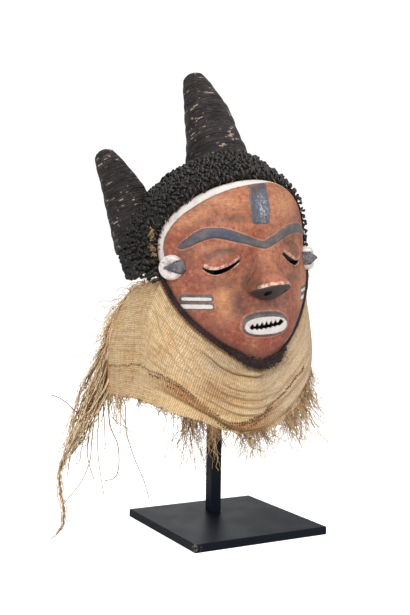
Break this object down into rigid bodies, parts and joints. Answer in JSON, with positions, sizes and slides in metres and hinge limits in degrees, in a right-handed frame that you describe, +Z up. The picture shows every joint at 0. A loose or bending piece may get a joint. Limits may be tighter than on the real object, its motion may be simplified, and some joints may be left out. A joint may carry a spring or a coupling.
{
  "type": "face mask on stand",
  "caption": "Hollow wooden face mask with downcast slit eyes, a knotted raffia hood with horns and a woven raffia collar, leaning slightly on a square steel plate and post.",
  "frame": {"origin": "centre of the underside of the square base plate, on the surface it stands on", "axes": "+Z up along the post, -Y the way the mask looks, +X to the right of someone facing it"},
  "size_m": [0.3894, 0.3029, 0.6516],
  "materials": {
    "stand_paint": "satin black paint over steel, a little worn at one corner",
    "painted_wood": "rubbed red-brown pigment with grey brow, white and grey stripes, and handling wear",
    "black_raffia": "matte black knotted fibre",
    "black_cord": "matte black wound and braided cord with worn tan flecks",
    "woven_raffia": "plain weave, undyed, with darker stitched rows",
    "loose_raffia": "dry undyed fibre"
  },
  "bodies": {
    "root": {"base_plate": "stand_paint", "post": "stand_paint", "face": "painted_wood", "hood": "black_raffia", "horn_right": "black_cord", "horn_left": "black_cord", "jaw_cord": "black_cord", "collar": "woven_raffia", "hem_fringe": "loose_raffia", "side_hank": "loose_raffia"}
  },
  "joints": []
}
